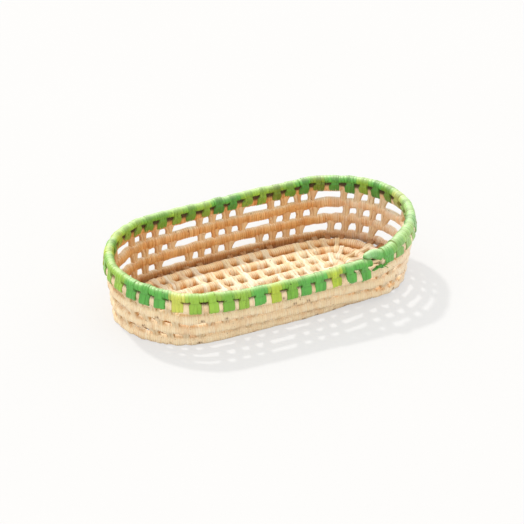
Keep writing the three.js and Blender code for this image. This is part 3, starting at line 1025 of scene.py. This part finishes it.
def crossings(shell, turn, start, end, rng):
    """Narrow wraps near the stitch at a turn, more of them at the left end of the wall."""
    place = length_at(turn)
    at_left = turn > WALL_FROM and across_at(place) < LEFT_END
    for _ in range(LEFT_CROSSINGS if at_left else CROSSINGS):
        spot = place + rng.normal(0, CROSSING_SPREAD)
        if length_at(start) + CROSSING_CLEAR < spot < length_at(end) - CROSSING_CLEAR:
            width = rng.uniform(*CROSSING_WIDTH)
            tilt = rng.uniform(*CROSSING_TILT) * rng.choice([-1, 1])
            tint = natural_tints(1, rng)[0]
            crossing(shell, spot, tilt, width, pinched(spot, 0), tint, rng)


def natural_piece(name, start, end, seed):
    """One turn of the coil in natural leaf, with the stitches that tie it."""
    rng = np.random.default_rng(seed)
    shell = Shell()
    edges = wrap_edges(length_at(start), length_at(end) + WRAP_WIDTH, WRAP_WIDTH, WRAP_UNEVEN, rng)
    tints = natural_tints(len(edges) - 1, rng)
    wound_strip(shell, edges, WRAP_STEPS, NATURAL_PROFILE, pinched, tints, rng, natural_tone)
    for turn, mate in zip(LINKED, MATES):
        if start < turn < end:
            stitch(shell, turn, mate, rng)
            crossings(shell, turn, start, end, rng)
    return shell.build(name + "_leaf", natural, "natural_leaf", name)


natural_piece("floor_start", COIL_START, 1.0, 11)
for row in range(1, FLOOR_ROWS):
    natural_piece(f"floor_turn_{row}", row, row + 1, 20 + row)
for row in range(1, WALL_ROWS + 1):
    natural_piece(f"wall_turn_{row}", FLOOR_ROWS + row - 1, FLOOR_ROWS + row, 30 + row)

# Green strips round the rim, whose last stretch is fuller and whose back is squashed
RIM_PROFILE = ((0.0, -0.3), (0.12, 0.0), (0.5, 0.08), (0.9, 0.0))
RIM_WRAP_WIDTH = 2.9
RIM_UNEVEN = 0.28
RIM_STEPS = 20
RIM_START = RIM_TURN + 0.01
RIM_SLIM = 0.4
RIM_SWELL = 1.4
SWELL_OVER = (COIL_END - 0.1, COIL_END - 0.05)
BACK_SQUASH = 0.42
SQUASH_POWER = 1.5
TIP_ROUNDING = 5.0
RIM_BRIGHTNESS = (0.8, 1.08)
GREEN_SLOTS = [tone + "green_leaf" for tone in ("", "light_", "deep_", "yellow_", "fresh_")]
SLOT_STEP = 3

# Tabs: the green stitches, of two or three strips each, that hold the rim
FIRST_TAB = 1
TAB_VARIES = (0.95, 1.3)
TAB_LEAN = (-0.3, 1.0)
LEAN_SHARES = np.array([1, 0.3, 0])
TAB_FAN = np.array([0.82, 0.9, 1.12])
TAB_TAPER = np.array([0.85, 0.95, 1.2])
TAB_OVERLAP = (1.0, 1.1)
TAB_WAIST = (4.1, 4.1)
TAB_BRIGHTNESS = (0.8, 1.06)
# Painted shade on the tabs' inner side, and a painted highlight over the rim's top
TAB_INSIDE_SHADE = 0.72
TAB_TOP_HIGHLIGHT = 0.7
RIM_BIND = 0.08
TAB_BIND = 0.6
TAB_BIND_VARIES = 0.25
TAB_THIN = 0.06
TAB_SHIFT = 0.2
RIGHT_LEAN = np.array([0.0, 0.7, 2.2])
LEAN_ACROSS = (-10.0, 50.0)
LEAN_FORWARD = (0.0, -40.0)


def rim_radius(length, angle):
    turn = turn_at(length)
    taper = rim_taper(turn)
    radius = blend(RIM_RADIUS, TIP_RADIUS, taper) - RIM_SLIM
    radius = radius + RIM_SWELL * ramp(turn, *SWELL_OVER) * (1 - taper)
    low = within(-np.sin(angle)) ** SQUASH_POWER
    tip = rounded(1 - (LENGTHS[-1] - length) / TIP_ROUNDING)
    return radius * (1 - BACK_SQUASH * behind(length) * low) * tip


def add_tab(shell, tab, rng):
    """The strips of one tab, from the top of the rim round the top row of the wall."""
    place, below = length_at(TABS[tab]), length_at(TABS[tab] - 1)
    slimmer = rim_radius(place, 0) - RIM_RADIUS
    total = TAB_WIDTH * rng.uniform(*TAB_VARIES)
    count = int(rng.integers(2, 4))
    lean = rng.uniform(*TAB_LEAN)
    base = blend(GREENS[TAB_LEAVES[tab]], MINT, minted(place))
    x, y, _ = table_at(place, PATH)
    at_right = ramp(x, *LEAN_ACROSS) * ramp(y, *LEAN_FORWARD)
    for item in range(count):
        off = (item + 0.5) / count - 0.5
        slant = TAB_FAN * off * total + LEAN_SHARES * lean - RIGHT_LEAN * at_right
        leaf = base * rng.uniform(*TAB_BRIGHTNESS)
        lashing(
            shell,
            (place, below),
            radii=(
                RIM_RADIUS + RIM_BIND + slimmer,
                COIL_RADIUS + TAB_BIND + rng.uniform(0, TAB_BIND_VARIES),
            ),
            thin=(1, 1 - FLATTENED + TAB_THIN),
            half=total / count / 2 * TAB_TAPER * rng.uniform(*TAB_OVERLAP),
            slant=slant + rng.uniform(-TAB_SHIFT, TAB_SHIFT, 3),
            waist=TAB_WAIST,
            section=TAB_SECTION,
            # Painted shade on the inner side
            tints=(leaf, leaf * TAB_INSIDE_SHADE),
            # Painted highlight where the tab passes over the top of the rim
            ends=(1 + TAB_TOP_HIGHLIGHT * (TOP_HIGHLIGHT / base - 1), 1),
            rng=rng,
        )


def rim_strip(number):
    """One green strip: its wraps round the rim, and the tabs that it takes."""
    rng = np.random.default_rng(60 + number)
    first = round(number / STRIP_COUNT * len(TABS))
    after = round((number + 1) / STRIP_COUNT * len(TABS))
    is_last = number + 1 == STRIP_COUNT
    start = (TABS[first - 1] + TABS[first]) / 2 if number else RIM_START
    end = TAPER_END if is_last else (TABS[after - 1] + TABS[after]) / 2
    end_length = length_at(end) + (0 if is_last else RIM_WRAP_WIDTH)
    edges = wrap_edges(length_at(start), end_length, RIM_WRAP_WIDTH, RIM_UNEVEN, rng)
    middles = turn_at((edges[:-1] + edges[1:]) / 2)
    tints = [GREENS[TAB_LEAVES[np.argmin(np.abs(TABS - middle))]] for middle in middles]
    tints = np.array(tints) * rng.uniform(*RIM_BRIGHTNESS, (len(tints), 1))
    shell = Shell()
    wound_strip(shell, edges, RIM_STEPS, RIM_PROFILE, rim_radius, tints, rng, green_tone)
    for tab in range(max(first, FIRST_TAB), after):
        add_tab(shell, tab, rng)
    name = f"rim_strip_{number + 1:02d}"
    slot = GREEN_SLOTS[number * SLOT_STEP % len(GREEN_SLOTS)]
    shell.build(name + "_leaf", dyed, slot, name)


for number in range(STRIP_COUNT):
    rim_strip(number)


UP = np.array([0, 0, 1.0])


def ribbon(shell, points, widths, thickness, tint, sides):
    """A leaf swept along points, tapering by its widths, as one closed surface."""
    ahead = unit(np.gradient(points, axis=0))
    normal = unit(UP - ahead * (ahead @ UP)[:, None])
    across = np.cross(ahead, normal)
    angles = np.arange(sides) / sides * FULL
    ring = np.cos(angles)[None, :, None] * across[:, None] * widths[:, None, None] / 2
    ring = ring + np.sin(angles)[None, :, None] * normal[:, None] * thickness / 2
    body = (points[:, None] + ring).reshape(-1, 3)
    faces = quads(len(points), len(points) - 1, sides, sides)
    faces.append(list(range(sides))[::-1])
    last = (len(points) - 1) * sides
    faces.append([last + side for side in range(sides)])
    strip = np.zeros((len(points), sides, 3))
    strip[:, :, 0] = travelled(points)[:, None]
    strip[:, :, 1] = np.cos(angles)[None, :] * widths[:, None] / 2
    colour = np.broadcast_to(tint, (len(body), 4))
    shell.add(body, faces, strip, colour)


# Fibre bundle inside the wrappings
BUNDLE_START = 1.5
BUNDLE_PITCH = 14.0
BUNDLE_UNEVEN = 0.1
BUNDLE_STEPS = 10
BUNDLE_PROFILE = ((0.0, 0.0), (0.5, 0.1))
BUNDLE_RADIUS = 2.3
LOBES = 5
LOBE_HEIGHT = 0.25


def bundle_radius(length, angle):
    return BUNDLE_RADIUS + LOBE_HEIGHT * np.cos(LOBES * angle)


rng = np.random.default_rng(5)
shell = Shell()
edges = wrap_edges(BUNDLE_START, length_at(TAPER_START), BUNDLE_PITCH, BUNDLE_UNEVEN, rng)
tints = np.tile(FIBRE, (len(edges) - 1, 1))
wound_strip(shell, edges, BUNDLE_STEPS, BUNDLE_PROFILE, bundle_radius, tints, rng, natural_tone)
shell.build("core_bundle_fibres", fibre, "fibre_bundle", "core_bundle")

# Knot and frayed tail of the last strip, on the top wall row under the rim's end
KNOT_RISE = 8.4
KNOT_BACK = -1.2
KNOT_AWAY = 3.8
# Rings of the knot: place along the row, radius and tilt
RINGS = ((-2.0, 4.2, 0.4), (0.5, 3.6, -0.5), (3.0, 3.0, 0.2))
RING_DEPTH = 1.5
RING_RISE = 0.8
RING_ARC = FULL * 0.96
RING_POINTS = 18
RING_WIDTH = 2.4
RING_THICKNESS = 0.8
RING_BRIGHTNESS = (0.6, 0.9)
RING_SIDES = 8
TAILS = 9
TAIL_START = 1.5
TAIL_REACH = (4, 8)
TAIL_SWING = (-0.5, 0.8)
TAIL_LIFT = (-0.5, 0.45)
TAIL_CURL = 2.2
TAIL_OUT = 0.8
TAIL_RISE = 0.3
TAIL_WIDTHS = (2.2, 1.6, 0.3)
TAIL_THICKNESS = 0.5
TAIL_POINTS = 7
TAIL_SIDES = 6
TAIL_BRIGHTNESS = (0.55, 0.9)
place = length_at(TABS[0])
out, along = table_at(place, OUTWARDS), -table_at(place, TANGENTS)
seat = table_at(length_at(TABS[0] - 1), PATH) + table_at(place, UPWARDS) * KNOT_RISE
seat = seat + along * KNOT_BACK + out * (COIL_RADIUS + KNOT_AWAY)


def knot_point(back, away, rise):
    return seat + along * back + out * away + UP * rise


rng = np.random.default_rng(9)
shell = Shell()
for back, radius, tilt in RINGS:
    angle = np.linspace(0, RING_ARC, RING_POINTS)[:, None]
    ring = knot_point(
        back + radius * np.cos(angle) * cos(tilt),
        RING_DEPTH * np.sin(angle),
        radius * np.cos(angle) * sin(tilt) + RING_RISE * np.sin(angle),
    )
    tint = GREENS["e"] * rng.uniform(*RING_BRIGHTNESS)
    widths = np.full(RING_POINTS, RING_WIDTH)
    ribbon(shell, ring, widths, RING_THICKNESS, tint, RING_SIDES)
for tail in range(TAILS):
    reach = rng.uniform(*TAIL_REACH)
    swing = rng.uniform(*TAIL_SWING)
    lift = rng.uniform(*TAIL_LIFT)
    step = np.linspace(0, 1, TAIL_POINTS)[:, None]
    line = knot_point(
        TAIL_START + reach * step,
        TAIL_CURL * swing * step * step + TAIL_OUT * step,
        reach * lift * step * step + TAIL_RISE,
    )
    widths = np.interp(step[:, 0], [0, 0.5, 1], TAIL_WIDTHS)
    tint = GREENS["e" if tail % 2 else "g"] * rng.uniform(*TAIL_BRIGHTNESS)
    ribbon(shell, line, widths, TAIL_THICKNESS, tint, TAIL_SIDES)
shell.build("tail_knot_leaf", dyed, "deep_green_leaf", "tail_knot")


# Floor, part of which is its own white to the camera
BACKDROP_SHARE = 0.56
PAPER = ((0.61, 0.595, 0.572, 1), (0.63, 0.615, 0.592, 1))
PAPER_SCALE = 4.0
bpy.ops.mesh.primitive_plane_add(size=8.0, location=(0, 0, 0))
floor = bpy.context.object
floor.name = "floor"
paper = bpy.data.materials.new("paper")
graph = Graph(paper)
shader = graph.tree.nodes["Principled BSDF"]
grain = graph.noise(graph.node("ShaderNodeTexCoord").outputs["Object"], PAPER_SCALE, 2.0)
inputs = {"Base Color": graph.mixed(grain, *PAPER), "Roughness": 0.9, "Specular IOR Level": 0.1}
graph.join(shader, inputs)
glow = graph.node("ShaderNodeEmission")
share = graph.maths("MULTIPLY", graph.seen_directly(), BACKDROP_SHARE)
surface = graph.mixed_shader(share, shader, glow)
graph.join(graph.tree.nodes["Material Output"], {"Surface": surface})
floor.data.materials.append(paper)

# One soft key light and an even world, both at a plain level
KEY_FALL = (0.18, -0.8, -1.0)
key_data = bpy.data.lights.new("key", "SUN")
key_data.energy = 1.9
key_data.angle = radians(4.0)
key = bpy.data.objects.new("key", key_data)
key.rotation_mode = "QUATERNION"
key.rotation_quaternion = Vector(KEY_FALL).to_track_quat("-Z", "Y")
scene.collection.objects.link(key)

world = bpy.data.worlds.new("studio")
scene.world = world
graph = Graph(world)
graph.tree.nodes.clear()
lit = graph.node("ShaderNodeBackground", {"Strength": 1.4})
seen = graph.node("ShaderNodeBackground")
surface = graph.mixed_shader(graph.seen_directly(), lit, seen)
graph.node("ShaderNodeOutputWorld", {"Surface": surface})
scene.view_settings.view_transform = "Standard"

# Camera, as it stood for the photograph
IMAGE_SIZE = 524
FOCAL_PIXELS = 2200.0
SENSOR_WIDTH = 36.0
AZIMUTH, ELEVATION, ROLL = radians(-26.165), radians(29.43), radians(-0.123)
DISTANCE, AIM_RIGHT, AIM_UP = 1901.98, 0.26, 23.76
back = Vector((sin(AZIMUTH) * cos(ELEVATION), -cos(AZIMUTH) * cos(ELEVATION), sin(ELEVATION)))
level = Vector((cos(AZIMUTH), sin(AZIMUTH), 0))
rise = back.cross(level)
right = cos(ROLL) * level + sin(ROLL) * rise
top = -sin(ROLL) * level + cos(ROLL) * rise
camera_data = bpy.data.cameras.new("camera")
camera_data.sensor_width = SENSOR_WIDTH
camera_data.lens = FOCAL_PIXELS / IMAGE_SIZE * SENSOR_WIDTH
camera_data.clip_end = 50.0
camera = bpy.data.objects.new("camera", camera_data)
eye = (back * DISTANCE + right * AIM_RIGHT + top * AIM_UP) * MM
turned = Matrix((right, top, back)).transposed().to_4x4()
camera.matrix_world = Matrix.Translation(eye) @ turned
scene.collection.objects.link(camera)
scene.camera = camera
